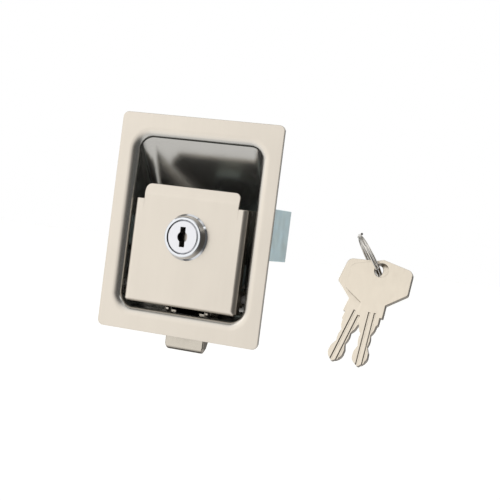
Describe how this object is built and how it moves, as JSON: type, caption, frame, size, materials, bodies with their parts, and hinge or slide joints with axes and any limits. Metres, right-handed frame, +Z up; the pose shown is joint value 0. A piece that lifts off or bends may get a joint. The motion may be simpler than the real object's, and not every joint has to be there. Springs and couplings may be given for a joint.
{
  "type": "flush paddle lock",
  "caption": "Flush-mounted paddle lock for a cabinet door: pressed steel tray, hinged pull paddle with key cylinder, bevelled spring bolt, rear clamp strap and a ring of keys.",
  "frame": {"origin": "centre of the plate's outline on its rear face, which lies on the door", "axes": "+Z up, the front faces -Y, +Y runs into the door, +X to the right as seen from the front"},
  "size_m": [0.1583, 0.0598, 0.1132],
  "materials": {
    "stainless": "brushed stainless steel",
    "bright_steel": "bright drawn steel",
    "spring_steel": "bright spring wire",
    "nylon": "natural nylon",
    "zinc_plate": "blue passivated zinc plating",
    "chrome": "polished chrome plating",
    "satin_nickel": "satin nickel plating",
    "brass": "stamped brass",
    "key_nickel": "nickel plated brass"
  },
  "bodies": {
    "housing": {"tray": "stainless", "hinge_pin": "bright_steel", "pin_clip": "spring_steel", "pin_spacers": "nylon", "return_springs": "spring_steel", "keeper": "zinc_plate", "bolt_guide": "zinc_plate", "guide_rivets": "bright_steel", "bolt_springs": "spring_steel", "clamp_studs": "zinc_plate"},
    "pull_paddle": {"paddle": "stainless", "drive_lever": "zinc_plate", "cylinder_body": "chrome", "lock_washer": "spring_steel", "cylinder_nut": "zinc_plate"},
    "lock_plug": {"plug": "satin_nickel", "wafers": "brass", "wafer_springs": "spring_steel", "cam": "zinc_plate", "cam_washer": "spring_steel", "cam_screw": "zinc_plate"},
    "bolt": {"latch_bolt": "bright_steel"},
    "clamp": {"clamp_strap": "zinc_plate", "clamp_washers": "zinc_plate", "clamp_nuts": "zinc_plate"},
    "keyring": {"key_ring": "spring_steel"},
    "front_key": {"key_1": "key_nickel"},
    "rear_key": {"key_2": "key_nickel"}
  },
  "joints": [
    {"name": "paddle_pull", "type": "hinge", "parent": "housing", "child": "pull_paddle", "pos_m": [0, 0.0044, -0.03075], "axis": [1, 0, 0], "range_deg": [0, 40], "stiffness_Nm_per_rad": 0.12, "springref_deg": -34.38, "deforming": ["return_springs"]},
    {"name": "plug_turn", "type": "hinge", "parent": "pull_paddle", "child": "lock_plug", "pos_m": [0, 0, -0.00484], "axis": [0, -1, 0], "range_deg": [0, 90]},
    {"name": "bolt_slide", "type": "slide", "parent": "housing", "child": "bolt", "axis": [0, 0, 1], "range_m": [0, 0.00836], "deforming": ["bolt_springs"]},
    {"name": "clamp_slide", "type": "slide", "parent": "housing", "child": "clamp", "axis": [0, -1, 0], "range_m": [0, 0.0064]},
    {"name": "keyring_lift", "type": "slide", "parent": "housing", "child": "keyring", "axis": [0, 0, 1], "range_m": [0, 0.02]},
    {"name": "front_key_swing", "type": "hinge", "parent": "keyring", "child": "front_key", "pos_m": [0.1, -0.0037, -0.0078], "axis": [0, 0.9397, -0.342], "range_deg": [-20, 20]},
    {"name": "rear_key_swing", "type": "hinge", "parent": "keyring", "child": "rear_key", "pos_m": [0.0966, -0.00128, -0.00847], "axis": [0, 0.9397, -0.342], "range_deg": [-20, 20]}
  ],
  "couplings": [
    {"joint": "bolt_slide", "follows": "paddle_pull", "m_per_rad": 0.011969}
  ]
}
